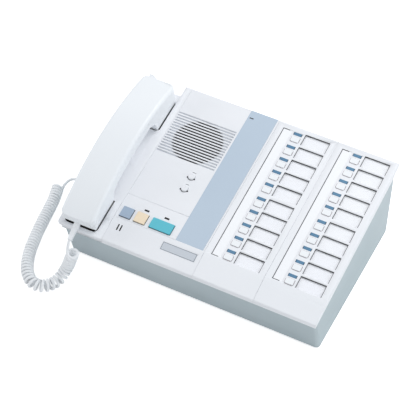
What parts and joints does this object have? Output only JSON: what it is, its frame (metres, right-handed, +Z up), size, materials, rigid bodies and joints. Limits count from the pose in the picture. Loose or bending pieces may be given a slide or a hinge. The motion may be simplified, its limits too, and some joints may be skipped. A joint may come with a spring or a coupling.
{
  "type": "desk intercom master station",
  "caption": "Wedge-shaped desk intercom station: handset on a curly cord in a cradle, speaker grille, volume knobs, function buttons and two panels of station keys.",
  "frame": {"origin": "on the desk under the middle of the body, feet down, the cord left out", "axes": "+X to the right across the station, +Y from the user to the rear, +Z up"},
  "size_m": [0.4006, 0.2991, 0.1344],
  "materials": {
    "shell": "off-white moulded plastic, fine texture",
    "grey_shell": "pale grey moulded plastic, fine texture",
    "plate": "plated steel sheet",
    "rubber": "soft, matt",
    "screw": "zinc plated",
    "band": "printed blue-grey laminate",
    "label_plate": "satin, bare",
    "blue_grey": "smooth",
    "cream": "smooth",
    "cyan": "smooth",
    "status_lamp": "dark red lens, unlit",
    "zinc": "plated",
    "card": "paper card under the clear covers",
    "clear": "clear plastic",
    "lamp": "blue lens, unlit",
    "cone": "paper cone",
    "magnet": "ferrite",
    "black": "moulded",
    "cord": "off-white vinyl, soft sheen",
    "board": "laminate with solder mask"
  },
  "bodies": {
    "base": {"lower_case": "grey_shell", "base_plate": "plate", "rubber_feet": "rubber", "base_screws": "screw", "cradle_cover": "shell", "control_cover": "shell", "station_panel_left": "shell", "station_panel_right": "shell", "trim_band": "band", "label_plate": "label_plate", "status_lamps": "status_lamp", "volume_controls": "zinc", "name_cards": "card", "card_windows": "clear", "station_lamps": "lamp", "speaker_frame": "plate", "speaker_cone": "cone", "speaker_magnet": "magnet", "microphone": "black", "hook_switch": "black", "curly_cord": "cord", "base_cord_plug": "cord", "cord_socket": "black", "main_board": "board", "key_boards": "board", "key_switches": "black", "line_socket": "black"},
    "handset": {"handset_top_shell": "shell", "handset_bottom_shell": "shell", "receiver_capsule": "black", "mouthpiece_capsule": "black", "handset_screws": "screw", "handset_cord_relief": "cord"},
    "station_key_01": {"station_key_01": "shell"},
    "station_key_02": {"station_key_02": "shell"},
    "station_key_03": {"station_key_03": "shell"},
    "station_key_04": {"station_key_04": "shell"},
    "station_key_05": {"station_key_05": "shell"},
    "station_key_06": {"station_key_06": "shell"},
    "station_key_07": {"station_key_07": "shell"},
    "station_key_08": {"station_key_08": "shell"},
    "station_key_09": {"station_key_09": "shell"},
    "station_key_10": {"station_key_10": "shell"},
    "station_key_11": {"station_key_11": "shell"},
    "station_key_12": {"station_key_12": "shell"},
    "station_key_13": {"station_key_13": "shell"},
    "station_key_14": {"station_key_14": "shell"},
    "station_key_15": {"station_key_15": "shell"},
    "station_key_16": {"station_key_16": "shell"},
    "station_key_17": {"station_key_17": "shell"},
    "station_key_18": {"station_key_18": "shell"},
    "station_key_19": {"station_key_19": "shell"},
    "station_key_20": {"station_key_20": "shell"},
    "off_button": {"off_button": "blue_grey"},
    "all_call_button": {"all_call_button": "cream"},
    "talk_button": {"talk_button": "cyan"},
    "handset_volume_knob": {"handset_volume_knob": "shell"},
    "speaker_volume_knob": {"speaker_volume_knob": "shell"},
    "hook_plunger": {"hook_plunger": "shell"}
  },
  "joints": [
    {"name": "handset_lift", "type": "slide", "parent": "base", "child": "handset", "axis": [0, -0.1616, 0.9869], "range_m": [0, 0.06]},
    {"name": "hook_plunger_travel", "type": "slide", "parent": "base", "child": "hook_plunger", "axis": [0, -0.1616, 0.9869], "range_m": [0, 0.004]},
    {"name": "station_key_01_press", "type": "slide", "parent": "base", "child": "station_key_01", "axis": [0, 0.1616, -0.9869], "range_m": [0, 0.001], "stiffness_N_per_m": 300, "springref_m": -0.002},
    {"name": "station_key_02_press", "type": "slide", "parent": "base", "child": "station_key_02", "axis": [0, 0.1616, -0.9869], "range_m": [0, 0.001], "stiffness_N_per_m": 300, "springref_m": -0.002},
    {"name": "station_key_03_press", "type": "slide", "parent": "base", "child": "station_key_03", "axis": [0, 0.1616, -0.9869], "range_m": [0, 0.001], "stiffness_N_per_m": 300, "springref_m": -0.002},
    {"name": "station_key_04_press", "type": "slide", "parent": "base", "child": "station_key_04", "axis": [0, 0.1616, -0.9869], "range_m": [0, 0.001], "stiffness_N_per_m": 300, "springref_m": -0.002},
    {"name": "station_key_05_press", "type": "slide", "parent": "base", "child": "station_key_05", "axis": [0, 0.1616, -0.9869], "range_m": [0, 0.001], "stiffness_N_per_m": 300, "springref_m": -0.002},
    {"name": "station_key_06_press", "type": "slide", "parent": "base", "child": "station_key_06", "axis": [0, 0.1616, -0.9869], "range_m": [0, 0.001], "stiffness_N_per_m": 300, "springref_m": -0.002},
    {"name": "station_key_07_press", "type": "slide", "parent": "base", "child": "station_key_07", "axis": [0, 0.1616, -0.9869], "range_m": [0, 0.001], "stiffness_N_per_m": 300, "springref_m": -0.002},
    {"name": "station_key_08_press", "type": "slide", "parent": "base", "child": "station_key_08", "axis": [0, 0.1616, -0.9869], "range_m": [0, 0.001], "stiffness_N_per_m": 300, "springref_m": -0.002},
    {"name": "station_key_09_press", "type": "slide", "parent": "base", "child": "station_key_09", "axis": [0, 0.1616, -0.9869], "range_m": [0, 0.001], "stiffness_N_per_m": 300, "springref_m": -0.002},
    {"name": "station_key_10_press", "type": "slide", "parent": "base", "child": "station_key_10", "axis": [0, 0.1616, -0.9869], "range_m": [0, 0.001], "stiffness_N_per_m": 300, "springref_m": -0.002},
    {"name": "station_key_11_press", "type": "slide", "parent": "base", "child": "station_key_11", "axis": [0, 0.1616, -0.9869], "range_m": [0, 0.001], "stiffness_N_per_m": 300, "springref_m": -0.002},
    {"name": "station_key_12_press", "type": "slide", "parent": "base", "child": "station_key_12", "axis": [0, 0.1616, -0.9869], "range_m": [0, 0.001], "stiffness_N_per_m": 300, "springref_m": -0.002},
    {"name": "station_key_13_press", "type": "slide", "parent": "base", "child": "station_key_13", "axis": [0, 0.1616, -0.9869], "range_m": [0, 0.001], "stiffness_N_per_m": 300, "springref_m": -0.002},
    {"name": "station_key_14_press", "type": "slide", "parent": "base", "child": "station_key_14", "axis": [0, 0.1616, -0.9869], "range_m": [0, 0.001], "stiffness_N_per_m": 300, "springref_m": -0.002},
    {"name": "station_key_15_press", "type": "slide", "parent": "base", "child": "station_key_15", "axis": [0, 0.1616, -0.9869], "range_m": [0, 0.001], "stiffness_N_per_m": 300, "springref_m": -0.002},
    {"name": "station_key_16_press", "type": "slide", "parent": "base", "child": "station_key_16", "axis": [0, 0.1616, -0.9869], "range_m": [0, 0.001], "stiffness_N_per_m": 300, "springref_m": -0.002},
    {"name": "station_key_17_press", "type": "slide", "parent": "base", "child": "station_key_17", "axis": [0, 0.1616, -0.9869], "range_m": [0, 0.001], "stiffness_N_per_m": 300, "springref_m": -0.002},
    {"name": "station_key_18_press", "type": "slide", "parent": "base", "child": "station_key_18", "axis": [0, 0.1616, -0.9869], "range_m": [0, 0.001], "stiffness_N_per_m": 300, "springref_m": -0.002},
    {"name": "station_key_19_press", "type": "slide", "parent": "base", "child": "station_key_19", "axis": [0, 0.1616, -0.9869], "range_m": [0, 0.001], "stiffness_N_per_m": 300, "springref_m": -0.002},
    {"name": "station_key_20_press", "type": "slide", "parent": "base", "child": "station_key_20", "axis": [0, 0.1616, -0.9869], "range_m": [0, 0.001], "stiffness_N_per_m": 300, "springref_m": -0.002},
    {"name": "off_button_press", "type": "slide", "parent": "base", "child": "off_button", "axis": [0, 0.1616, -0.9869], "range_m": [0, 0.0015], "stiffness_N_per_m": 300, "springref_m": -0.002},
    {"name": "all_call_button_press", "type": "slide", "parent": "base", "child": "all_call_button", "axis": [0, 0.1616, -0.9869], "range_m": [0, 0.0015], "stiffness_N_per_m": 300, "springref_m": -0.002},
    {"name": "talk_button_press", "type": "slide", "parent": "base", "child": "talk_button", "axis": [0, 0.1616, -0.9869], "range_m": [0, 0.0015], "stiffness_N_per_m": 300, "springref_m": -0.002},
    {"name": "handset_volume_knob_turn", "type": "hinge", "parent": "base", "child": "handset_volume_knob", "pos_m": [-0.049, -0.00081, 0.08963], "axis": [0, -0.1616, 0.9869], "range_deg": [-140, 140]},
    {"name": "speaker_volume_knob_turn", "type": "hinge", "parent": "base", "child": "speaker_volume_knob", "pos_m": [-0.049, -0.01896, 0.08666], "axis": [0, -0.1616, 0.9869], "range_deg": [-140, 140]}
  ],
  "couplings": [
    {"joint": "hook_plunger_travel", "follows": "handset_lift", "ratio": 0.0666}
  ]
}
